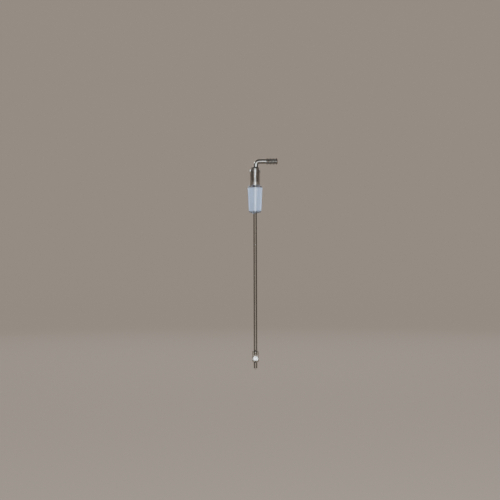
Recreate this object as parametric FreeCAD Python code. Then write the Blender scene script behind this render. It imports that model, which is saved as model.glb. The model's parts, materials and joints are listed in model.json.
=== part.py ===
import FreeCAD, Part
import math
import os

# Laboratory-glass siphon tube: a ground stopper carries a long dip tube with a ball check valve at its
# foot, and an outlet elbow with a ridged hose connection stands in a small ground socket on top.
# Millimetres. Z runs up the dip tube, with Z = 0 at the large end of the ground cone; the outlet points
# along +X. Every glass length that the glassblower seals together is its own solid, and sealed
# lengths meet face to face.

# --- standard ground stopper, 24/40 ---
CONE_TOP_R = 12.0
CONE_TAPER = 0.05            # radius lost per mm of length, the standard 1:10 on diameter
GROUND_LENGTH = 38.0
CONE_WALL = 1.8
DRIP_HEIGHT = 4.0
DRIP_CORNER_R = 3.4
DRIP_WALL = 1.6

# --- shoulder and neck of the stopper ---
SHOULDER_HEIGHT = 3.2
SHOULDER_CORNER_R = 2.6
SHOULDER_INNER_CORNER_R = 0.8
NECK_R = 8.6
NECK_TOP_Z = 25.6
BEAD_R = 9.1
BEAD_TOP_Z = 30.4
BEAD_CORNER_R = 1.6
SEAL_THICKNESS = 1.8

# --- small ground joint between the neck and the elbow, 14/20 ---
PLUG_TOP_R = 7.25
PLUG_TOP_Z = 30.8
PLUG_LENGTH = 20.0
PLUG_WALL = 1.4
JOINT_GAP = 0.04

# --- outlet elbow ---
ELBOW_SHOULDER_TOP_Z = 34.6
ELBOW_SHOULDER_CORNER_R = 2.4
TUBE_R = 4.0
TUBE_BORE_R = 2.6            # the bore runs through elbow and hose connection alike
RISER_OFFSET = 1.5           # the tube is sealed a little off the cone's axis, towards the outlet
RISER_LEAN_DEG = 3.0
OUTLET_Z = 44.2
BEND_R = 5.4
ELBOW_END_X = 15.0
RISER_FOOT_Z = 33.9          # the riser's foot is let half way into the wall of the dome

# --- hose connection ---
HOSE_END_X = 37.6
RIDGE_COUNT = 4
RIDGE_PITCH = 5.2
RIDGE_CREST_R = 5.4
RIDGE_ROOT_R = 3.7
RIDGE_TIP_R = 3.9
RIDGE_CREST_WIDTH = 0.8
RIDGE_BACK_LENGTH = 1.1
TIP_LEAD_LENGTH = 1.6

# --- dip tube ---
STEM_R = 3.0
STEM_BORE_R = 1.9
STEM_TOP_Z = 3.8
STEM_FOOT_Z = -277.2

# --- foot valve: a sleeve round the stem's foot, and a standard 9 mm ball ---
BALL_R = 4.5
BALL_REST_Z = -285.2
BALL_LIFT = 2.4
SEAT_GAP = 0.03              # between the resting ball and its 45 degree seat
STOP_GAP = 0.05              # between the lifted ball and the stem's notched foot
SLEEVE_R = 5.6
SLEEVE_BORE_R = 4.8
SLEEVE_SEAL_Z = -269.6       # where the sleeve is sealed on to the stem
SLEEVE_SEAL_THICKNESS = 1.2
SLEEVE_TOP_Z = -273.4
WAIST_Z = -290.8
WAIST_R = 2.8
SEAT_BORE_R = 1.9
STOP_COUNT = 3
STOP_WIDTH_DEG = 62.0        # of each tooth between the notches in the stem's foot
STOP_TURN_DEG = 30.0         # where the first tooth stands, round from the outlet's side
NOZZLE_R = 3.0
NOZZLE_FLARE = 0.8
NOZZLE_END_Z = -300.5
NOZZLE_RIM_R = 0.6

AXIS_X = FreeCAD.Vector(1, 0, 0)
AXIS_Z = FreeCAD.Vector(0, 0, 1)
ORIGIN = FreeCAD.Vector(0, 0, 0)
OUT = "parts"


def save(name, shape):
    """Write one node as its own STEP file."""
    if not shape.isValid():
        raise ValueError(name + " is not a valid shape")
    shape.exportStep(os.path.join(OUT, name + ".step"))
    box = shape.BoundBox
    print("%-18s volume %9.2f  z %8.2f .. %7.2f" % (name, shape.Volume, box.ZMin, box.ZMax))


def at(r, z):
    """A point of a half profile, in the XZ plane."""
    return FreeCAD.Vector(r, 0, z)


def line(start, end):
    return Part.LineSegment(start, end).toShape()


def arc(start, middle, end):
    return Part.Arc(start, middle, end).toShape()


def corner(centre_r, centre_z, radius, start_deg, end_deg):
    """A round corner of a half profile, by its centre, radius and two angles from +X."""
    points = []
    for deg in (start_deg, (start_deg + end_deg) / 2.0, end_deg):
        rad = math.radians(deg)
        points.append(at(centre_r + radius * math.cos(rad), centre_z + radius * math.sin(rad)))
    return arc(*points)


def s_curve(start_r, start_z, end_r, end_z):
    """Two equal arcs, upright at both ends, from one radius to another."""
    dr = (end_r - start_r) / 2.0
    dz = (end_z - start_z) / 2.0
    bend = (dr * dr + dz * dz) / (2.0 * abs(dr))
    half = math.asin(abs(dz) / bend) / 2.0
    sag_r = math.copysign(bend * (1.0 - math.cos(half)), dr)
    sag_z = math.copysign(bend * math.sin(half), dz)
    middle = at(start_r + dr, start_z + dz)
    return [
        arc(at(start_r, start_z), at(start_r + sag_r, start_z + sag_z), middle),
        arc(middle, at(end_r - sag_r, end_z - sag_z), at(end_r, end_z)),
    ]


def outline(*points):
    """The edges of a half profile made of straight lines only, closed on itself."""
    closed = list(points) + [points[0]]
    return [line(a, b) for a, b in zip(closed, closed[1:])]


def lathe(edges):
    """A solid of revolution about Z from the edges of a closed half profile."""
    face = Part.Face(Part.Wire(edges))
    return face.revolve(ORIGIN, AXIS_Z, 360)


def cone_r(z):
    """Outer radius of the ground cone at a height."""
    return CONE_TOP_R + CONE_TAPER * z


def plug_r(z):
    """Outer radius of the small inner cone at a height."""
    return PLUG_TOP_R - CONE_TAPER * (PLUG_TOP_Z - z)


def neck_bore_foot_r():
    """Bore of the neck below the socket's taper, and of everything that closes it."""
    return plug_r(PLUG_TOP_Z - PLUG_LENGTH) + JOINT_GAP


def socket_r(z):
    """Inner radius of the socket's ground taper at a height."""
    return plug_r(z) + JOINT_GAP


# ---------------------------------------------------------------- stopper

def ground_cone():
    foot = -GROUND_LENGTH
    return lathe(outline(
        at(cone_r(0), 0),
        at(cone_r(foot), foot),
        at(cone_r(foot) - CONE_WALL, foot),
        at(cone_r(0) - CONE_WALL, 0),
    ))


def stopper_drip_end():
    """Clear fire-polished end that turns in below the ground zone and leaves a gap round the stem."""
    top = -GROUND_LENGTH
    foot = top - DRIP_HEIGHT
    outer = cone_r(top)
    inner = outer - CONE_WALL
    centre_r = outer - DRIP_CORNER_R
    centre_z = foot + DRIP_CORNER_R
    inner_corner = DRIP_CORNER_R - DRIP_WALL
    return lathe([
        line(at(inner, top), at(outer, top)),
        line(at(outer, top), at(outer, centre_z)),
        corner(centre_r, centre_z, DRIP_CORNER_R, 0, -90),
        arc(at(centre_r, foot), at(centre_r - DRIP_WALL / 2, foot + DRIP_WALL / 2),
            at(centre_r, foot + DRIP_WALL)),
        corner(centre_r, centre_z, inner_corner, -90, 0),
        line(at(centre_r + inner_corner, centre_z), at(inner, top)),
    ])


def stopper_shoulder():
    """Clear round shoulder from the cone in to the neck."""
    outer = CONE_TOP_R
    inner = CONE_TOP_R - CONE_WALL
    centre_r = outer - SHOULDER_CORNER_R
    centre_z = SHOULDER_HEIGHT - SHOULDER_CORNER_R
    inside_top = SHOULDER_HEIGHT - CONE_WALL
    inner_centre_r = inner - SHOULDER_INNER_CORNER_R
    inner_centre_z = inside_top - SHOULDER_INNER_CORNER_R
    return lathe([
        line(at(inner, 0), at(outer, 0)),
        line(at(outer, 0), at(outer, centre_z)),
        corner(centre_r, centre_z, SHOULDER_CORNER_R, 0, 90),
        line(at(centre_r, SHOULDER_HEIGHT), at(neck_bore_foot_r(), SHOULDER_HEIGHT)),
        line(at(neck_bore_foot_r(), SHOULDER_HEIGHT), at(neck_bore_foot_r(), inside_top)),
        line(at(neck_bore_foot_r(), inside_top), at(inner_centre_r, inside_top)),
        corner(inner_centre_r, inner_centre_z, SHOULDER_INNER_CORNER_R, 90, 0),
        line(at(inner, inner_centre_z), at(inner, 0)),
    ])


def neck_socket():
    taper_foot = PLUG_TOP_Z - PLUG_LENGTH
    return lathe(outline(
        at(neck_bore_foot_r(), SHOULDER_HEIGHT),
        at(NECK_R, SHOULDER_HEIGHT),
        at(NECK_R, NECK_TOP_Z),
        at(socket_r(NECK_TOP_Z), NECK_TOP_Z),
        at(neck_bore_foot_r(), taper_foot),
    ))


def socket_bead():
    """Rolled rim round the mouth of the socket."""
    centre_r = BEAD_R - BEAD_CORNER_R
    low_z = NECK_TOP_Z + BEAD_CORNER_R
    high_z = BEAD_TOP_Z - BEAD_CORNER_R
    return lathe([
        line(at(socket_r(NECK_TOP_Z), NECK_TOP_Z), at(centre_r, NECK_TOP_Z)),
        corner(centre_r, low_z, BEAD_CORNER_R, -90, 0),
        line(at(BEAD_R, low_z), at(BEAD_R, high_z)),
        corner(centre_r, high_z, BEAD_CORNER_R, 0, 90),
        line(at(centre_r, BEAD_TOP_Z), at(socket_r(BEAD_TOP_Z), BEAD_TOP_Z)),
        line(at(socket_r(BEAD_TOP_Z), BEAD_TOP_Z), at(socket_r(NECK_TOP_Z), NECK_TOP_Z)),
    ])


def ring_seal():
    """Web that closes the foot of the neck round the top of the stem."""
    top = SHOULDER_HEIGHT
    return lathe(outline(
        at(STEM_R, top - SEAL_THICKNESS),
        at(neck_bore_foot_r(), top - SEAL_THICKNESS),
        at(neck_bore_foot_r(), top),
        at(STEM_R, top),
    ))


def stem():
    return lathe(outline(
        at(STEM_BORE_R, STEM_FOOT_Z),
        at(STEM_R, STEM_FOOT_Z),
        at(STEM_R, STEM_TOP_Z),
        at(STEM_BORE_R, STEM_TOP_Z),
    ))


# ---------------------------------------------------------------- foot valve

def sleeve_shoulder():
    """Shoulder that opens out from the stem to the valve sleeve, with the stem running on inside it."""
    return lathe(
        s_curve(STEM_R, SLEEVE_SEAL_Z, SLEEVE_R, SLEEVE_TOP_Z)
        + [line(at(SLEEVE_R, SLEEVE_TOP_Z), at(SLEEVE_BORE_R, SLEEVE_TOP_Z))]
        + s_curve(SLEEVE_BORE_R, SLEEVE_TOP_Z, STEM_R, SLEEVE_SEAL_Z - SLEEVE_SEAL_THICKNESS)
        + [line(at(STEM_R, SLEEVE_SEAL_Z - SLEEVE_SEAL_THICKNESS), at(STEM_R, SLEEVE_SEAL_Z))]
    )


def seat_z(r):
    """Height of the 45 degree seat at a radius, just clear of the resting ball."""
    return BALL_REST_Z + r - math.sqrt(2.0) * (BALL_R + SEAT_GAP)


def valve_sleeve():
    foot = seat_z(SLEEVE_BORE_R)
    return lathe(outline(
        at(SLEEVE_BORE_R, foot),
        at(SLEEVE_R, foot),
        at(SLEEVE_R, SLEEVE_TOP_Z),
        at(SLEEVE_BORE_R, SLEEVE_TOP_Z),
    ))


def ball_stop():
    """Teeth at the stem's foot, which hold the lifted ball off the stem's mouth."""
    reach = math.sqrt(BALL_R * BALL_R - STEM_BORE_R * STEM_BORE_R)
    foot = BALL_REST_Z + BALL_LIFT + reach + STOP_GAP
    profile = Part.Face(Part.Wire(outline(
        at(STEM_BORE_R, foot),
        at(STEM_R, foot),
        at(STEM_R, STEM_FOOT_Z),
        at(STEM_BORE_R, STEM_FOOT_Z),
    )))
    teeth = []
    for i in range(STOP_COUNT):
        tooth = profile.revolve(ORIGIN, AXIS_Z, STOP_WIDTH_DEG)
        tooth.rotate(ORIGIN, AXIS_Z, STOP_TURN_DEG - STOP_WIDTH_DEG / 2 + 360.0 * i / STOP_COUNT)
        teeth.append(tooth)
    return Part.makeCompound(teeth)


def valve_seat():
    """Constriction below the sleeve, with the 45 degree seat that the ball rests on."""
    top = seat_z(SLEEVE_BORE_R)
    corner_r = SLEEVE_R - WAIST_R
    return lathe([
        line(at(SEAT_BORE_R, WAIST_Z), at(WAIST_R, WAIST_Z)),
        corner(WAIST_R, WAIST_Z + corner_r, corner_r, -90, 0),
        line(at(SLEEVE_R, WAIST_Z + corner_r), at(SLEEVE_R, top)),
        line(at(SLEEVE_R, top), at(SLEEVE_BORE_R, top)),
        line(at(SLEEVE_BORE_R, top), at(SEAT_BORE_R, seat_z(SEAT_BORE_R))),
        line(at(SEAT_BORE_R, seat_z(SEAT_BORE_R)), at(SEAT_BORE_R, WAIST_Z)),
    ])


def intake_nozzle():
    """Plain tube end, a little waisted where it leaves the seat, with a fire-polished rim."""
    low = NOZZLE_END_Z
    rim = NOZZLE_RIM_R
    straight_top = WAIST_Z - NOZZLE_FLARE
    return lathe([
        line(at(SEAT_BORE_R, WAIST_Z), at(WAIST_R, WAIST_Z)),
        line(at(WAIST_R, WAIST_Z), at(NOZZLE_R, straight_top)),
        line(at(NOZZLE_R, straight_top), at(NOZZLE_R, low + rim)),
        corner(NOZZLE_R - rim, low + rim, rim, 0, -90),
        line(at(NOZZLE_R - rim, low), at(SEAT_BORE_R, low)),
        line(at(SEAT_BORE_R, low), at(SEAT_BORE_R, WAIST_Z)),
    ])


def check_ball():
    return Part.makeSphere(BALL_R, at(0, BALL_REST_Z))


# ---------------------------------------------------------------- outlet elbow

def elbow_cone():
    foot = PLUG_TOP_Z - PLUG_LENGTH
    return lathe(outline(
        at(plug_r(foot) - PLUG_WALL, foot),
        at(plug_r(foot), foot),
        at(PLUG_TOP_R, PLUG_TOP_Z),
        at(PLUG_TOP_R - PLUG_WALL, PLUG_TOP_Z),
    ))


def riser_x(z):
    """How far the riser's centreline stands from the axis at a height."""
    return RISER_OFFSET + (z - ELBOW_SHOULDER_TOP_Z) * math.tan(math.radians(RISER_LEAN_DEG))


def elbow_route():
    """Centreline of the elbow: the leaning riser, from inside the dome, the bend and the level run."""
    lean = math.radians(RISER_LEAN_DEG)
    start_z = PLUG_TOP_Z
    bend_z = OUTLET_Z - BEND_R * (1 - math.sin(lean))
    bend_centre_x = riser_x(bend_z) + BEND_R * math.cos(lean)
    return [
        line(at(riser_x(start_z), start_z), at(riser_x(bend_z), bend_z)),
        corner(bend_centre_x, OUTLET_Z - BEND_R, BEND_R, 180.0 - RISER_LEAN_DEG, 90),
        line(at(bend_centre_x, OUTLET_Z), at(ELBOW_END_X, OUTLET_Z)),
    ]


def elbow_bar(radius):
    """A round bar of one radius along the elbow's centreline."""
    edges = elbow_route()
    first = edges[0]
    start = first.valueAt(first.FirstParameter)
    direction = first.tangentAt(first.FirstParameter)
    ring = Part.Wire([Part.makeCircle(radius, start, direction)])
    return Part.Wire(edges).makePipeShell([ring], True, True)


def riser_and_bend():
    """The outside of the bent tube as a solid, from where its foot is let into the dome."""
    below = Part.makeCylinder(ELBOW_END_X, RISER_FOOT_Z, ORIGIN, AXIS_Z)
    return elbow_bar(TUBE_R).cut(below)


def elbow_shoulder():
    """Dome that closes the inner cone in to the riser, which is let into its top."""
    foot = PLUG_TOP_Z
    top = ELBOW_SHOULDER_TOP_Z
    outer_r = ELBOW_SHOULDER_CORNER_R
    inner_r = ELBOW_SHOULDER_CORNER_R - PLUG_WALL
    centre_r = PLUG_TOP_R - outer_r
    centre_z = top - outer_r
    inner_wall = PLUG_TOP_R - PLUG_WALL
    dome = lathe([
        line(at(inner_wall, foot), at(PLUG_TOP_R, foot)),
        line(at(PLUG_TOP_R, foot), at(PLUG_TOP_R, centre_z)),
        corner(centre_r, centre_z, outer_r, 0, 90),
        line(at(centre_r, top), at(0, top)),
        line(at(0, top), at(0, top - PLUG_WALL)),
        line(at(0, top - PLUG_WALL), at(centre_r, top - PLUG_WALL)),
        corner(centre_r, centre_z, inner_r, 90, 0),
        line(at(inner_wall, centre_z), at(inner_wall, foot)),
    ])
    return dome.cut(elbow_bar(TUBE_BORE_R)).cut(riser_and_bend())


def outlet_elbow():
    """Bent tube that carries the liquid up out of the dome and round to the side."""
    return riser_and_bend().cut(elbow_bar(TUBE_BORE_R))


def hose_connection():
    """Ridged tube: each ridge rises slowly from the open end and drops fast behind its crest."""
    outer = [at(ELBOW_END_X, TUBE_R)]
    for i in reversed(range(RIDGE_COUNT)):
        crest_front = HOSE_END_X - TIP_LEAD_LENGTH - i * RIDGE_PITCH
        crest_back = crest_front - RIDGE_CREST_WIDTH
        outer.append(at(crest_back - RIDGE_BACK_LENGTH, RIDGE_ROOT_R))
        outer.append(at(crest_back, RIDGE_CREST_R))
        outer.append(at(crest_front, RIDGE_CREST_R))
    outer.append(at(HOSE_END_X, RIDGE_TIP_R))
    outer.append(at(HOSE_END_X, TUBE_BORE_R))
    outer.append(at(ELBOW_END_X, TUBE_BORE_R))
    face = Part.Face(Part.Wire(outline(*outer)))
    tube = face.revolve(ORIGIN, AXIS_X, 360)
    tube.translate(at(0, OUTLET_Z))
    return tube


NODES = {
    "ground_cone": ground_cone,
    "stopper_drip_end": stopper_drip_end,
    "stopper_shoulder": stopper_shoulder,
    "neck_socket": neck_socket,
    "socket_bead": socket_bead,
    "ring_seal": ring_seal,
    "stem": stem,
    "sleeve_shoulder": sleeve_shoulder,
    "valve_sleeve": valve_sleeve,
    "ball_stop": ball_stop,
    "valve_seat": valve_seat,
    "intake_nozzle": intake_nozzle,
    "check_ball": check_ball,
    "elbow_cone": elbow_cone,
    "elbow_shoulder": elbow_shoulder,
    "outlet_elbow": outlet_elbow,
    "hose_connection": hose_connection,
}


os.makedirs(OUT, exist_ok=True)
for node, make in NODES.items():
    save(node, make())
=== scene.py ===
import json
import math

import bmesh
import bpy
from mathutils import Matrix, Vector


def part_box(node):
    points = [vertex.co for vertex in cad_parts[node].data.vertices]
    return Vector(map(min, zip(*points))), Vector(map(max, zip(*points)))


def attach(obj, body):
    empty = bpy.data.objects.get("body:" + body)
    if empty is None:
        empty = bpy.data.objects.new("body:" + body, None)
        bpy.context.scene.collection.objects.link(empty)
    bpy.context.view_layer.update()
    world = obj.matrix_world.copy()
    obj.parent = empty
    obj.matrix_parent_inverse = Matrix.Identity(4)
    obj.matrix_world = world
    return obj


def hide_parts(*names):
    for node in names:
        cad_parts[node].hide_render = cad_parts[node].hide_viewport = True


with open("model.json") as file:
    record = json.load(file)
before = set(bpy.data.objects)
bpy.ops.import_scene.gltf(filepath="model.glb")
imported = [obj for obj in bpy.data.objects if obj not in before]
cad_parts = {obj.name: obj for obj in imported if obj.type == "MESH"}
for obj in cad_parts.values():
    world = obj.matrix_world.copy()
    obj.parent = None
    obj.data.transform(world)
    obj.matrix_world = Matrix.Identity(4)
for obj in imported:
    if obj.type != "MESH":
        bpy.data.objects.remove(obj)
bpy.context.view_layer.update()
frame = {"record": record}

# A laboratory-glass siphon tube. Metres, in the CAD frame: Z runs up the dip tube, the outlet points
# along +X. Each glass piece that is sealed from several CAD lengths is one continuous closed mesh here,
# because the glassblower's seals don't show as faces inside real glass.

MM = 0.001

# ---------------------------------------------------------------- sizes read from the frame

def half_width(node):
    """Largest radius of a round upright node."""
    low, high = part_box(node)
    return (high.y - low.y) / 2


def span(node):
    """Lowest and highest Z of a node."""
    low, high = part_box(node)
    return low.z, high.z


CONE_FOOT_Z, CONE_TOP_Z = span("ground_cone")
CONE_TOP_R = half_width("ground_cone")
CONE_FOOT_R = half_width("stopper_drip_end")
DRIP_FOOT_Z = span("stopper_drip_end")[0]
SHOULDER_TOP_Z = span("stopper_shoulder")[1]
NECK_R = half_width("neck_socket")
NECK_TOP_Z = span("neck_socket")[1]
BEAD_R = half_width("socket_bead")
BEAD_TOP_Z = span("socket_bead")[1]
SEAL_FOOT_Z = span("ring_seal")[0]
STEM_R = half_width("stem")
STEM_TOP_Z = span("stem")[1]
SLEEVE_R = half_width("valve_sleeve")
SLEEVE_TOP_Z = span("valve_sleeve")[1]
SLEEVE_SEAL_Z = span("sleeve_shoulder")[1]
WAIST_Z = span("valve_seat")[0]
NOZZLE_R = half_width("intake_nozzle")
NOZZLE_END_Z = span("intake_nozzle")[0]
TEETH_FOOT_Z, TEETH_ROOT_Z = span("ball_stop")
BALL_LOW, BALL_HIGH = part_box("check_ball")
BALL_CENTRE = (BALL_LOW + BALL_HIGH) / 2
BALL_R = (BALL_HIGH.z - BALL_LOW.z) / 2
PLUG_FOOT_Z, PLUG_TOP_Z = span("elbow_cone")
PLUG_TOP_R = half_width("elbow_cone")
ELBOW_SHOULDER_TOP_Z = span("elbow_shoulder")[1]
TUBE_R = half_width("outlet_elbow")
HOSE_LOW, HOSE_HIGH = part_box("hose_connection")
OUTLET_Z = (HOSE_LOW.z + HOSE_HIGH.z) / 2
CREST_R = (HOSE_HIGH.z - HOSE_LOW.z) / 2
HOSE_START_X, HOSE_END_X = HOSE_LOW.x, HOSE_HIGH.x

# Sizes inside the glass, which no box shows, as the CAD has them.
TAPER = 0.05
CONE_WALL = 1.8 * MM
DRIP_WALL = 1.6 * MM
DRIP_CORNER_R = 3.4 * MM
SHOULDER_CORNER_R = 2.6 * MM
STEM_BORE_R = 1.9 * MM
SLEEVE_BORE_R = 4.8 * MM
SLEEVE_SEAL_THICKNESS = 1.2 * MM
WAIST_R = 2.8 * MM
SEAT_BORE_R = 1.9 * MM
TOOTH_COUNT = 3
TOOTH_WIDTH = math.radians(62)
TOOTH_TURN = math.radians(30)
SEAT_GAP = 0.03 * MM
JOINT_GAP = 0.04 * MM
PLUG_WALL = 1.4 * MM
TUBE_BORE_R = 2.6 * MM
RISER_OFFSET = 1.5 * MM
RISER_LEAN = math.radians(3.0)
BEND_R = 5.4 * MM
RIDGE_COUNT = 4
RIDGE_PITCH = 5.2 * MM
RIDGE_ROOT_R = 3.7 * MM
RIDGE_TIP_R = 3.9 * MM
RIDGE_CREST_WIDTH = 0.8 * MM
RIDGE_BACK_LENGTH = 1.1 * MM
TIP_LEAD_LENGTH = 1.6 * MM

# Where the section's corners stand off the levels above.
NOZZLE_DRAW_IN = 0.9 * MM    # height over which the nozzle narrows to the waist
SLEEVE_FOOT_RISE = 0.5 * MM
FLARE_FOOT_DROP = 0.5 * MM   # the flare from sleeve to stem, outside: below and above its middle
FLARE_TOP_RISE = 0.7 * MM
FLARE_INSIDE_DROP = 1.2 * MM
SLEEVE_SEAL_DEPTH = 1.9 * SLEEVE_SEAL_THICKNESS
DOME_FILLET_RISE = 1.4 * MM  # height of the fillet from the elbow's dome to its tube
BORE_JOIN_RISE = 2 * MM      # where the elbow's outline starts and ends, inside its cone

# Traces of hand work.
NECK_SWELL = 0.22 * MM       # how far the neck draws in beside its swells
NECK_SWELL_Z = 6.7 * MM
NECK_SWELL_PITCH = 5.0 * MM
SWELL_FOOT_GAP = 1.4 * MM    # plain neck above the shoulder
SWELL_TOP_GAP = 0.9 * MM     # plain neck below the bead
SWELL_FADE = 1.5 * MM
BEND_FLATTENING = 0.05
TOOTH_FLANK = 0.2            # radians
NOTCH_REACH = 0.9            # part of the teeth's length that the notches are cut to
LAND_WIDTH = 0.045           # the ball's parting land, both in ball radii
LAND_DEPTH = 0.006

# How finely the meshes are divided.
AROUND = 128                 # faces round each glass piece
ARC_STEP = math.radians(7.5)
RISER_STEPS = 6
BEND_STEPS = 28
RUN_STEPS = 6
FINE_STEP = 0.8 * MM         # longest side of an outline
HOSE_STEP = 0.5 * MM         # the same over the ridges
LONG_SIDE = 50 * MM          # a longer side than this is divided by TUBE_STEP
TUBE_STEP = 6 * MM
STRAIGHT = 0.01              # radians; a corner that turns less gets no fillet
SIDE_SHARE = 0.97            # part of a side that its two fillets may take up
BALL_CUTS = 31

# Margins for telling which part of the glass a point or face is on.
ON_SURFACE = 0.01 * MM
AT_STEM_FOOT = 0.1 * MM
NEAR_WALL = 0.3 * MM
ABOVE_DOME = 0.8 * MM


# ---------------------------------------------------------------- outlines

def rounded(corners, closed=True):
    """An outline in (r, z) from its corners, each (r, z, fillet radius), with arcs for the fillets.

    Two fillets share a side in proportion to their radii, and one that needs more is made smaller.
    """
    made = []
    count = len(corners)
    for i, (r, z, radius) in enumerate(corners):
        here = Vector((r, z))
        before, after = corners[i - 1], corners[(i + 1) % count]
        back = Vector(before[:2]) - here
        ahead = Vector(after[:2]) - here
        turn = math.pi - back.angle(ahead)
        open_end = not closed and i in (0, count - 1)
        if open_end or radius <= 0 or turn < STRAIGHT:
            made.append(here)
            continue
        room_back = SIDE_SHARE * back.length * radius / (radius + before[2])
        room_ahead = SIDE_SHARE * ahead.length * radius / (radius + after[2])
        reach = min(radius * math.tan(turn / 2), room_back, room_ahead)
        true_radius = reach / math.tan(turn / 2)
        to_centre = (back.normalized() + ahead.normalized()).normalized()
        centre = here + to_centre * math.hypot(true_radius, reach)
        start = here + back.normalized() * reach - centre
        side = 1 if back.x * ahead.y - back.y * ahead.x < 0 else -1
        steps = max(2, math.ceil(turn / ARC_STEP))
        for k in range(steps + 1):
            made.append(centre + Matrix.Rotation(side * turn * k / steps, 2) @ start)
    return made


def divided(points, longest, closed=True):
    """The same outline with no side longer than a length, but coarser along the long straight tube."""
    made = []
    count = len(points)
    for i in range(count if closed else count - 1):
        a, b = points[i], points[(i + 1) % count]
        side = (b - a).length
        parts = max(1, math.ceil(side / (TUBE_STEP if side > LONG_SIDE else longest)))
        made += [a.lerp(b, k / parts) for k in range(parts)]
    if not closed:
        made.append(points[-1])
    return made


# ---------------------------------------------------------------- mesh helpers

def ring_mesh(name, rings, closed=True):
    """A mesh skinned over rings of equal count; closed joins the last ring to the first."""
    mesh = bpy.data.meshes.new(name)
    points = [p for ring in rings for p in ring]
    around = len(rings[0])
    faces = []
    last = len(rings) if closed else len(rings) - 1
    for i in range(last):
        a, b = i * around, ((i + 1) % len(rings)) * around
        for k in range(around):
            j = (k + 1) % around
            faces.append((a + k, a + j, b + j, b + k))
    mesh.from_pydata(points, [], faces)
    mesh.polygons.foreach_set("use_smooth", [True] * len(faces))
    obj = bpy.data.objects.new(name, mesh)
    bpy.context.scene.collection.objects.link(obj)
    face_outwards(mesh)
    return obj


def face_outwards(mesh):
    """Turn all faces the same way round, which is outwards where the mesh is closed."""
    work = bmesh.new()
    work.from_mesh(mesh)
    bmesh.ops.recalc_face_normals(work, faces=work.faces)
    if work.calc_volume(signed=True) < 0:
        bmesh.ops.reverse_faces(work, faces=work.faces)
    work.to_mesh(mesh)
    work.free()


def turned_rings(outline):
    """Rings about Z from an outline in (r, z)."""
    rings = []
    for r, z in outline:
        rings.append([
            Vector((r * math.cos(math.tau * k / AROUND), r * math.sin(math.tau * k / AROUND), z))
            for k in range(AROUND)
        ])
    return rings


# ---------------------------------------------------------------- stopper and dip tube

def plug_r(z):
    """Radius of the elbow's cone at a height."""
    return PLUG_TOP_R - TAPER * (PLUG_TOP_Z - z)


def seat_z(r):
    """Height of the 45 degree seat at a radius, a hair clear of the resting ball."""
    return BALL_CENTRE.z + r - math.sqrt(2) * (BALL_R + SEAT_GAP)


def stopper_outline():
    """Section of the whole stopper: up its outside from the nozzle, and down the inside to it again.

    Each corner is (r, z, fillet radius in mm).
    """
    mouth_r = plug_r(NECK_TOP_Z) + JOINT_GAP
    neck_bore = plug_r(PLUG_FOOT_Z) + JOINT_GAP
    drip_in_r = CONE_FOOT_R - DRIP_CORNER_R - DRIP_WALL / 2
    flare_mid = (SLEEVE_SEAL_Z + SLEEVE_TOP_Z) / 2
    corners = [
        (SEAT_BORE_R, NOZZLE_END_Z, 0.4),
        (NOZZLE_R, NOZZLE_END_Z, 0.6),
        (NOZZLE_R, WAIST_Z - NOZZLE_DRAW_IN, 1.0),
        (WAIST_R, WAIST_Z, 0.4),
        (SLEEVE_R, WAIST_Z + SLEEVE_FOOT_RISE, 2.4),
        (SLEEVE_R, flare_mid - FLARE_FOOT_DROP, 2.0),
        (STEM_R, flare_mid + FLARE_TOP_RISE, 1.6),
        (STEM_R, SEAL_FOOT_Z, 1.1),
        (CONE_TOP_R - CONE_WALL, SEAL_FOOT_Z, 1.4),
        (CONE_FOOT_R - CONE_WALL, CONE_FOOT_Z, 4.0),
        (CONE_FOOT_R - DRIP_WALL, DRIP_FOOT_Z + DRIP_WALL, (DRIP_CORNER_R - DRIP_WALL) / MM),
        (drip_in_r, DRIP_FOOT_Z + DRIP_WALL, 0.75),
        (drip_in_r, DRIP_FOOT_Z, 0.75),
        (CONE_FOOT_R, DRIP_FOOT_Z, DRIP_CORNER_R / MM),
        (CONE_FOOT_R, CONE_FOOT_Z, 0),
        (CONE_TOP_R, CONE_TOP_Z, 0),
        (CONE_TOP_R, SHOULDER_TOP_Z, SHOULDER_CORNER_R / MM),
        (NECK_R, SHOULDER_TOP_Z, 1.0),
        (NECK_R, NECK_TOP_Z, 0.7),
        (BEAD_R, NECK_TOP_Z, 1.5),
        (BEAD_R, BEAD_TOP_Z, 1.5),
        (plug_r(BEAD_TOP_Z) + JOINT_GAP, BEAD_TOP_Z, 0.5),
        (mouth_r, NECK_TOP_Z, 0),
        (neck_bore, PLUG_FOOT_Z, 1.0),
        (neck_bore, SHOULDER_TOP_Z, 1.6),
        (STEM_R, SHOULDER_TOP_Z, 0.5),
        (STEM_R, STEM_TOP_Z, 0.5),
        (STEM_BORE_R, STEM_TOP_Z, 0.4),
        (STEM_BORE_R, TEETH_FOOT_Z, 0.4),
        (STEM_R, TEETH_FOOT_Z, 0.4),
        (STEM_R, SLEEVE_SEAL_Z - SLEEVE_SEAL_DEPTH, 0.7),
        (SLEEVE_BORE_R, flare_mid - FLARE_INSIDE_DROP, 1.4),
        (SLEEVE_BORE_R, seat_z(SLEEVE_BORE_R), 0.8),
        (SEAT_BORE_R, seat_z(SEAT_BORE_R), 0.6),
    ]
    return [(r, z, fillet * MM) for r, z, fillet in corners]


def blown_neck(point):
    """The neck's outside is hand-blown, so it swells a little twice between shoulder and bead."""
    r, z = point
    low, high = SHOULDER_TOP_Z + SWELL_FOOT_GAP, NECK_TOP_Z - SWELL_TOP_GAP
    if r < NECK_R - NEAR_WALL or r > NECK_R + ON_SURFACE or not low < z < high:
        return point
    ends = min(1, (z - low) / SWELL_FADE, (high - z) / SWELL_FADE)
    wave = 0.5 - 0.5 * math.cos(math.tau * (z - NECK_SWELL_Z) / NECK_SWELL_PITCH)
    return Vector((r - NECK_SWELL * ends * wave, z))


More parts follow.
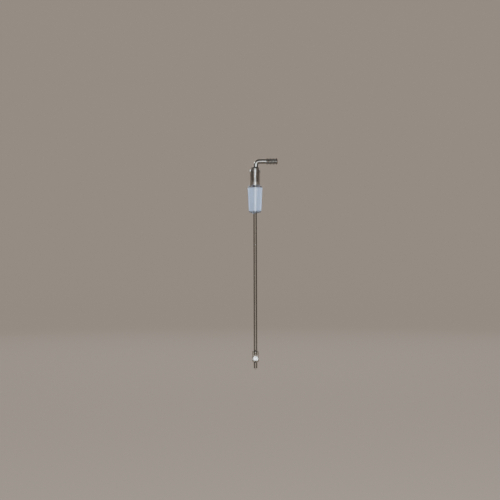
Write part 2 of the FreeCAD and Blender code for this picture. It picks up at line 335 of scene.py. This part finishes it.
def stopper():
    """Stopper, neck, dip tube, valve chamber and nozzle in one closed mesh."""
    outline = [blown_neck(p) for p in divided(rounded(stopper_outline()), FINE_STEP)]
    glass = ring_mesh("stopper_and_dip_tube", turned_rings(outline))
    mark_zones(glass.data)
    notch_stem_foot(glass.data)
    return glass


def mark_zones(mesh):
    """Ground cone: second material. Thin clear walls: third. Stem and nozzle: fourth. The rest: first."""
    for face in mesh.polygons:
        z = face.center.z
        r = math.hypot(face.center.x, face.center.y)
        cone_r = CONE_TOP_R + TAPER * (min(z, CONE_TOP_Z) - CONE_TOP_Z)
        on_sleeve = WAIST_Z < z < SLEEVE_SEAL_Z and r > STEM_R + NEAR_WALL
        if CONE_FOOT_Z < z < CONE_TOP_Z and r > cone_r - CONE_WALL / 2:
            face.material_index = 1
        elif on_sleeve or (CONE_TOP_Z <= z <= SHOULDER_TOP_Z and r > NECK_R):
            face.material_index = 2
        elif z < SEAL_FOOT_Z and r < STEM_R + NEAR_WALL:
            face.material_index = 3
        else:
            face.material_index = 0


def notch_stem_foot(mesh):
    """Three notches in the stem's foot, inside the sleeve, leave teeth that stop the lifted ball."""
    pitch = math.tau / TOOTH_COUNT
    for v in mesh.vertices:
        r = math.hypot(v.co.x, v.co.y)
        at_foot = TEETH_FOOT_Z - AT_STEM_FOOT <= v.co.z <= TEETH_ROOT_Z
        if not at_foot or r > STEM_R + AT_STEM_FOOT:
            continue
        off = (math.atan2(v.co.y, v.co.x) - TOOTH_TURN + pitch / 2) % pitch - pitch / 2
        past_tooth = min(1, max(0, (abs(off) - TOOTH_WIDTH / 2 + TOOTH_FLANK / 2) / TOOTH_FLANK))
        depth = TEETH_ROOT_Z - v.co.z
        v.co.z += past_tooth * depth * NOTCH_REACH


# ---------------------------------------------------------------- outlet elbow

def riser_x(z):
    """How far the riser's centreline stands from the axis at a height."""
    return RISER_OFFSET + (z - ELBOW_SHOULDER_TOP_Z) * math.tan(RISER_LEAN)


def elbow_stations(start_z):
    """Places of the bent tube's rings from a height on the riser to the hose connection: (point, lean)."""
    bend_z = OUTLET_Z - BEND_R * (1 - math.sin(RISER_LEAN))
    centre = Vector((riser_x(bend_z) + BEND_R * math.cos(RISER_LEAN), 0, OUTLET_Z - BEND_R))
    stations = []
    for k in range(RISER_STEPS):
        z = start_z + (bend_z - start_z) * k / RISER_STEPS
        stations.append((Vector((riser_x(z), 0, z)), RISER_LEAN))
    for k in range(BEND_STEPS + 1):
        lean = RISER_LEAN + (math.pi / 2 - RISER_LEAN) * k / BEND_STEPS
        stations.append((centre + BEND_R * Vector((-math.cos(lean), 0, math.sin(lean))), lean))
    for k in range(1, RUN_STEPS):
        x = centre.x + (HOSE_START_X - centre.x) * k / RUN_STEPS
        stations.append((Vector((x, 0, OUTLET_Z)), math.pi / 2))
    return stations


def tilted_ring(point, lean, radius, squeeze=1.0):
    """A ring square to a direction that leans from +Z towards +X; squeeze flattens it in the bend's plane."""
    across = Vector((math.cos(lean), 0, -math.sin(lean)))
    side = Vector((0, 1, 0))
    return [
        point + across * (radius * squeeze * math.cos(math.tau * k / AROUND))
        + side * (radius * math.sin(math.tau * k / AROUND))
        for k in range(AROUND)
    ]


def bent_tube_rings(radius, start_z):
    """Rings of the bent tube, which the bending has flattened by a few percent."""
    rings = []
    for point, lean in elbow_stations(start_z):
        round_bend = math.sin(math.pi * (lean - RISER_LEAN) / (math.pi / 2 - RISER_LEAN))
        rings.append(tilted_ring(point, lean, radius, 1 - BEND_FLATTENING * round_bend))
    return rings


def dome_rings(points, wide, narrow):
    """Rings for the cone and its dome, whose centre moves across to the riser as they get narrow."""
    rings = []
    for r, z in points:
        part = min(1, max(0, (wide - r) / (wide - narrow))) if z > PLUG_TOP_Z else 0
        shift = part * part * (3 - 2 * part)
        rings.append(tilted_ring(Vector((riser_x(z) * shift, 0, z)), RISER_LEAN * shift, r))
    return rings


def hose_outline():
    """Outside of the hose connection as (x, r, fillet): ridges that rise slowly from the open end."""
    corners = [(HOSE_START_X, TUBE_R, 0)]
    for i in reversed(range(RIDGE_COUNT)):
        front = HOSE_END_X - TIP_LEAD_LENGTH - i * RIDGE_PITCH
        back = front - RIDGE_CREST_WIDTH
        corners.append((back - RIDGE_BACK_LENGTH, RIDGE_ROOT_R, 0.7 * MM))
        corners.append((back, CREST_R, 0.5 * MM))
        corners.append((front, CREST_R, 0.5 * MM))
    corners.append((HOSE_END_X, RIDGE_TIP_R, 0.6 * MM))
    corners.append((HOSE_END_X, TUBE_BORE_R, 0.5 * MM))
    corners.append((HOSE_START_X, TUBE_BORE_R, 0))
    return corners


def elbow():
    """Elbow's cone, dome, bent tube and hose connection in one closed mesh; its tube has its own material."""
    top = ELBOW_SHOULDER_TOP_Z
    fillet_top = top + DOME_FILLET_RISE
    inside_r = PLUG_TOP_R - PLUG_WALL
    cone_foot_r = plug_r(PLUG_FOOT_Z)
    outside = [
        (cone_foot_r - PLUG_WALL, PLUG_FOOT_Z + BORE_JOIN_RISE, 0),
        (cone_foot_r - PLUG_WALL, PLUG_FOOT_Z, 0.5 * MM),
        (cone_foot_r, PLUG_FOOT_Z, 0.5 * MM),
        (PLUG_TOP_R, PLUG_TOP_Z, 0),
        (PLUG_TOP_R, top, 2.4 * MM),
        (TUBE_R, top, 1.1 * MM),
        (TUBE_R, fillet_top, 0),
    ]
    inside = [
        (TUBE_BORE_R, fillet_top, 0),
        (TUBE_BORE_R, top - PLUG_WALL, 1.0 * MM),
        (inside_r, top - PLUG_WALL, 1.2 * MM),
        (inside_r, PLUG_TOP_Z, 0),
        (cone_foot_r - PLUG_WALL, PLUG_FOOT_Z + BORE_JOIN_RISE, 0),
    ]
    outside = divided(rounded(outside, closed=False), FINE_STEP, closed=False)[:-1]
    inside = divided(rounded(inside, closed=False), FINE_STEP, closed=False)[1:-1]
    hose = divided(rounded(hose_outline(), closed=False), HOSE_STEP, closed=False)
    rings = dome_rings(outside, PLUG_TOP_R, TUBE_R)
    rings += bent_tube_rings(TUBE_R, fillet_top)
    rings += [tilted_ring(Vector((x, 0, OUTLET_Z)), math.pi / 2, r) for x, r in hose]
    rings += reversed(bent_tube_rings(TUBE_BORE_R, fillet_top))
    rings += dome_rings(inside, inside_r, TUBE_BORE_R)
    glass = ring_mesh("outlet_elbow_glass", rings)
    for face in glass.data.polygons:
        face.material_index = 1 if face.center.z > top + ABOVE_DOME else 0
    return glass


# ---------------------------------------------------------------- check ball

def check_ball():
    """Turned PTFE ball, from a cube divided and drawn out to a sphere, with a faint parting land."""
    work = bmesh.new()
    bmesh.ops.create_cube(work, size=2)
    bmesh.ops.subdivide_edges(work, edges=work.edges, cuts=BALL_CUTS, use_grid_fill=True)
    for v in work.verts:
        x, y, z = v.co
        v.co = Vector((
            x * math.sqrt(1 - y * y / 2 - z * z / 2 + y * y * z * z / 3),
            y * math.sqrt(1 - z * z / 2 - x * x / 2 + z * z * x * x / 3),
            z * math.sqrt(1 - x * x / 2 - y * y / 2 + x * x * y * y / 3),
        ))
        land = math.exp(-(v.co.z / LAND_WIDTH) ** 2)
        v.co = v.co.normalized() * BALL_R * (1 - LAND_DEPTH * land) + BALL_CENTRE
    mesh = bpy.data.meshes.new("check_ball_ptfe")
    work.to_mesh(mesh)
    work.free()
    mesh.polygons.foreach_set("use_smooth", [True] * len(mesh.polygons))
    obj = bpy.data.objects.new("check_ball_ptfe", mesh)
    bpy.context.scene.collection.objects.link(obj)
    return obj


# ---------------------------------------------------------------- materials

GLASS_IOR = 1.474
COAT_IOR = 1.5
CLEAR_SHADOW = (0.93, 0.94, 0.94, 1)
GROUND_SHADOW = (0.72, 0.76, 0.82, 1)
# White ground glass with a painted blue cast of cool light.
GROUND_WHITE_AND_PAINTED_COOL_CAST = (0.58, 0.73, 1.0, 1)
PTFE_DARK = (0.86, 0.86, 0.85, 1)
PTFE_LIGHT = (0.93, 0.93, 0.93, 1)
PTFE_DEPTH = (0.0012, 0.0012, 0.0011)
PAPER_COLOUR = (0.07, 0.06, 0.05, 1)
PAPER_GLOW = (0.60, 0.51, 0.43, 1)
ALONG_Z = (1, 1, 0.06)       # noise drawn out along the tube
AROUND_Z = (0.05, 0.05, 1)   # noise drawn out round the cone


def new_material(name):
    """A material with its node tree's nodes and links, and its shader."""
    mat = bpy.data.materials.new(name)
    mat.use_nodes = True
    nodes = mat.node_tree.nodes
    links = mat.node_tree.links
    return mat, nodes, links, nodes["Principled BSDF"]


def noise(nodes, links, scale, detail=2.0, stretch=(1, 1, 1)):
    """Object-space noise whose scale is in features per metre."""
    where = nodes.new("ShaderNodeTexCoord")
    size = nodes.new("ShaderNodeMapping")
    size.inputs["Scale"].default_value = stretch
    grain = nodes.new("ShaderNodeTexNoise")
    grain.inputs["Scale"].default_value = scale
    grain.inputs["Detail"].default_value = detail
    links.new(where.outputs["Object"], size.inputs["Vector"])
    links.new(size.outputs["Vector"], grain.inputs["Vector"])
    return grain.outputs["Fac"]


def bump(nodes, links, height, distance, strength):
    """A surface relief; distance is in metres."""
    node = nodes.new("ShaderNodeBump")
    node.inputs["Strength"].default_value = strength
    node.inputs["Distance"].default_value = distance
    links.new(height, node.inputs["Height"])
    return node.outputs["Normal"]


def ranged(nodes, links, value, low, high):
    """A value from 0 to 1 brought to a range, which may fall."""
    node = nodes.new("ShaderNodeMapRange")
    node.inputs["To Min"].default_value = low
    node.inputs["To Max"].default_value = high
    links.new(value, node.inputs["Value"])
    return node.outputs["Result"]


# Grey of each kind of clear wall, as (Facing, grey) stops from square on (0) to edge on (1). Clear tube
# looks clear in the middle, dark beside it and lighter at the rim. These levels are set to give that
# look from the side. They are not optics: seen from well above, the stem and nozzle come out too dark.
# These stops paint shade into the glass colour: dark bands beside the middle of each tube stand in for the
# dark surroundings that real glass refracts there.
BLOWN_WALL_PAINTED_SHADE = [(0.0, 0.92), (0.03, 0.86), (0.08, 0.60), (0.60, 0.30), (0.88, 0.35), (1.0, 0.60)]
BENT_WALL_PAINTED_SHADE = [
    (0.0, 0.92), (0.02, 0.86), (0.06, 0.42), (0.18, 0.22), (0.40, 0.22), (0.60, 0.38), (1.0, 0.65),
]
STEM_WALL_PAINTED_SHADE = [(0.0, 0.90), (0.06, 0.84), (0.14, 0.24), (0.40, 0.10), (0.60, 0.16), (1.0, 0.50)]
THIN_WALL_PAINTED_SHADE = [(0.0, 0.95), (0.34, 0.90), (0.44, 0.30), (0.60, 0.25), (0.82, 0.45), (1.0, 0.75)]


def facing_out(nodes):
    """0 where the surface is seen square on, 1 where it is seen edge on."""
    facing = nodes.new("ShaderNodeLayerWeight")
    facing.inputs["Blend"].default_value = 0.5
    return facing.outputs["Facing"]


def painted_edge_shade(nodes, links, shade_stops):
    """A glass wall's colour by how square on it is seen: painted shade, dark away from square on and lighter
    again at the rim.
    """
    facing = facing_out(nodes)
    tone = nodes.new("ShaderNodeValToRGB")
    while len(tone.color_ramp.elements) < len(shade_stops):
        tone.color_ramp.elements.new(0.5)
    for element, (place, shade_grey) in zip(tone.color_ramp.elements, shade_stops):
        element.position = place
        element.color = (shade_grey * 0.99, shade_grey, shade_grey * 0.99, 1)
    links.new(facing, tone.inputs["Fac"])
    return tone.outputs["Color"]


def let_lamps_through(nodes, links, shader, colour):
    """Shadow rays pass straight through the glass, tinted, so that lamps light what is inside it."""
    path = nodes.new("ShaderNodeLightPath")
    clear = nodes.new("ShaderNodeBsdfTransparent")
    clear.inputs["Color"].default_value = colour
    both = nodes.new("ShaderNodeMixShader")
    links.new(path.outputs["Is Shadow Ray"], both.inputs["Fac"])
    links.new(shader.outputs["BSDF"], both.inputs[1])
    links.new(clear.outputs["BSDF"], both.inputs[2])
    links.new(both.outputs["Shader"], nodes["Material Output"].inputs["Surface"])


def clear_glass(name, shade_stops, polish, polish_roughness):
    """Fire-polished borosilicate: faint drawn striae along the tube, and a trace of handling haze.

    polish is the weight of a clear coat, which spreads the lamps' glints a little.
    """
    mat, nodes, links, shader = new_material(name)
    # The base colour carries the painted edge shade from the stops.
    links.new(painted_edge_shade(nodes, links, shade_stops), shader.inputs["Base Color"])
    shader.inputs["Transmission Weight"].default_value = 1.0
    shader.inputs["IOR"].default_value = GLASS_IOR
    shader.inputs["Coat Weight"].default_value = polish
    shader.inputs["Coat Roughness"].default_value = polish_roughness
    shader.inputs["Coat IOR"].default_value = COAT_IOR
    striae = noise(nodes, links, scale=260, detail=2, stretch=ALONG_Z)
    links.new(bump(nodes, links, striae, distance=0.00002, strength=0.5), shader.inputs["Normal"])
    haze = noise(nodes, links, scale=90, detail=4)
    links.new(ranged(nodes, links, haze, low=0.0, high=0.03), shader.inputs["Roughness"])
    let_lamps_through(nodes, links, shader, CLEAR_SHADOW)
    return mat


def ground_glass():
    """Glass ground with fine abrasive: white, with blue painted in for the cool light it scatters, a sanded
    grain and faint marks round the cone.

    It lets less light through where it is seen edge on, which makes its rims lighter: partly the glancing
    scatter of ground glass, partly painted rim light.
    """
    mat, nodes, links, shader = new_material("ground_glass")
    shader.inputs["IOR"].default_value = GLASS_IOR
    # The blue in this base colour is a painted cast of cool light on white ground glass.
    shader.inputs["Base Color"].default_value = GROUND_WHITE_AND_PAINTED_COOL_CAST
    # Less light through edge on gives lighter rims: partly real glancing scatter, partly painted rim light.
    through_and_painted_rim = ranged(nodes, links, facing_out(nodes), low=0.70, high=0.20)
    links.new(through_and_painted_rim, shader.inputs["Transmission Weight"])
    grain = noise(nodes, links, scale=9000, detail=3)
    marks = noise(nodes, links, scale=1400, detail=3, stretch=AROUND_Z)
    both = nodes.new("ShaderNodeMath")
    both.operation = "MULTIPLY_ADD"
    both.inputs[1].default_value = 0.5
    links.new(marks, both.inputs[0])
    links.new(grain, both.inputs[2])
    relief = bump(nodes, links, both.outputs["Value"], distance=0.00004, strength=0.8)
    links.new(relief, shader.inputs["Normal"])
    wear = noise(nodes, links, scale=160, detail=4)
    links.new(ranged(nodes, links, wear, low=0.30, high=0.42), shader.inputs["Roughness"])
    let_lamps_through(nodes, links, shader, GROUND_SHADOW)
    return mat


def white_ptfe():
    """Waxy white PTFE with a fine turned bloom."""
    mat, nodes, links, shader = new_material("white_ptfe")
    mottle = noise(nodes, links, scale=700, detail=3)
    tone = nodes.new("ShaderNodeMix")
    tone.data_type = "RGBA"
    tone.inputs["A"].default_value = PTFE_DARK
    tone.inputs["B"].default_value = PTFE_LIGHT
    links.new(mottle, tone.inputs["Factor"])
    links.new(tone.outputs["Result"], shader.inputs["Base Color"])
    shader.inputs["Subsurface Weight"].default_value = 0.25
    shader.inputs["Subsurface Radius"].default_value = PTFE_DEPTH
    shader.inputs["Subsurface Scale"].default_value = 1.0
    links.new(ranged(nodes, links, mottle, low=0.34, high=0.5), shader.inputs["Roughness"])
    bloom = noise(nodes, links, scale=5200, detail=2)
    links.new(bump(nodes, links, bloom, distance=0.00002, strength=0.6), shader.inputs["Normal"])
    return mat


def backdrop_material():
    """Plain matt paper, mostly lit by a glow of its own so that it stays even all round."""
    mat, _, _, shader = new_material("backdrop")
    shader.inputs["Base Color"].default_value = PAPER_COLOUR
    shader.inputs["Roughness"].default_value = 1.0
    shader.inputs["Specular IOR Level"].default_value = 0.0
    shader.inputs["Emission Color"].default_value = PAPER_GLOW
    shader.inputs["Emission Strength"].default_value = 0.50
    return mat


# ---------------------------------------------------------------- studio

FLOOR_DROP = 2 * MM          # floor below the nozzle's end
FLOOR_HOLE_R = 0.002
BOWL_R = 4.2
BOWL_CURVE_R = 2.2           # curve from floor up to wall
BOWL_CURVE_STEPS = 24
BOWL_WALL_HEIGHT = 2.5

WORLD_COLOUR = (0.80, 0.88, 1.0, 1)
WORLD_STRENGTH = 0.12
LAMP_COLOUR = (0.88, 0.94, 1.0)
# name, place, aim, width, height, watts, spread in degrees
LAMPS = [
    ("key", (0.40, -2.16, 0.115), (0, 0, 0), 0.16, 0.06, 32, 180),
    ("hose_key", (0.09, -2.2, 0.225), (0, 0, 0), 0.07, 0.05, 28, 180),
    ("rim", (-1.25, 1.2, 0.95), (0, 0, 0.02), 0.16, 0.16, 5, 70),
    ("rim", (1.25, 1.2, 0.95), (0, 0, 0.02), 0.16, 0.16, 5, 70),
]

LENS_MM = 85
SENSOR_MM = 36
FRAME_HEIGHT = 0.8333        # metres that the frame covers at the tube
CAMERA_X = -0.00868
CAMERA_Z = -0.1033
CAMERA_ROLL = 0.0029         # radians; the tube leans this little


def bowl():
    """Floor that curves up into a wall all round, so that every view has a plain background."""
    floor_z = NOZZLE_END_Z - FLOOR_DROP
    flat_r = BOWL_R - BOWL_CURVE_R
    profile = [Vector((FLOOR_HOLE_R, floor_z)), Vector((flat_r, floor_z))]
    for k in range(1, BOWL_CURVE_STEPS + 1):
        turn = math.pi / 2 * k / BOWL_CURVE_STEPS
        r = flat_r + BOWL_CURVE_R * math.sin(turn)
        profile.append(Vector((r, floor_z + BOWL_CURVE_R * (1 - math.cos(turn)))))
    profile.append(Vector((BOWL_R, floor_z + BOWL_CURVE_R + BOWL_WALL_HEIGHT)))
    obj = ring_mesh("backdrop", turned_rings(profile), closed=False)
    obj.data.materials.append(backdrop_material())


def softbox(name, place, aim, width, height, watts, spread):
    """A rectangular lamp that lights without being seen itself."""
    data = bpy.data.lights.new(name, "AREA")
    data.shape = "RECTANGLE"
    data.size = width
    data.size_y = height
    data.energy = watts
    data.color = LAMP_COLOUR
    data.spread = math.radians(spread)
    obj = bpy.data.objects.new(name, data)
    obj.location = place
    obj.rotation_euler = (Vector(aim) - Vector(place)).to_track_quat("-Z", "Y").to_euler()
    obj.visible_camera = False
    bpy.context.scene.collection.objects.link(obj)


def studio():
    """Even light from all round, the backdrop, and lamps placed for their glints in upright glass."""
    world = bpy.data.worlds.new("studio")
    world.use_nodes = True
    background = world.node_tree.nodes["Background"]
    background.inputs["Color"].default_value = WORLD_COLOUR
    background.inputs["Strength"].default_value = WORLD_STRENGTH
    bpy.context.scene.world = world
    bowl()
    for lamp in LAMPS:
        softbox(*lamp)


def camera():
    """Square on, as the tube is seen lying on a table from straight above."""
    data = bpy.data.cameras.new("camera")
    data.lens = LENS_MM
    data.sensor_width = SENSOR_MM
    obj = bpy.data.objects.new("camera", data)
    distance = FRAME_HEIGHT / 2 / math.tan(math.atan(SENSOR_MM / 2 / data.lens))
    obj.location = (CAMERA_X, -distance, CAMERA_Z)
    obj.rotation_euler = (math.pi / 2, CAMERA_ROLL, 0)
    data.clip_start = 0.05
    data.clip_end = 50
    bpy.context.scene.collection.objects.link(obj)
    bpy.context.scene.camera = obj


# ---------------------------------------------------------------- assembly

camera()
studio()

clear = clear_glass("clear_glass", BLOWN_WALL_PAINTED_SHADE, polish=1.0, polish_roughness=0.07)
thin_clear = clear_glass("clear_glass_thin_wall", THIN_WALL_PAINTED_SHADE, polish=1.0, polish_roughness=0.09)
stem_clear = clear_glass("clear_glass_stem", STEM_WALL_PAINTED_SHADE, polish=0.0, polish_roughness=0.09)
elbow_clear = clear_glass("clear_glass_elbow", BENT_WALL_PAINTED_SHADE, polish=0.5, polish_roughness=0.09)
ground = ground_glass()

stopper_glass = stopper()
for material in (clear, ground, thin_clear, stem_clear):
    stopper_glass.data.materials.append(material)
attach(stopper_glass, "stopper")
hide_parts(*frame["record"]["behaviour"]["bodies"]["stopper"])

elbow_glass = elbow()
for material in (clear, elbow_clear):
    elbow_glass.data.materials.append(material)
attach(elbow_glass, "elbow")
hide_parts("elbow_cone", "elbow_shoulder", "outlet_elbow", "hose_connection")

ball = check_ball()
ball.data.materials.append(white_ptfe())
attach(ball, "ball")
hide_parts("check_ball")
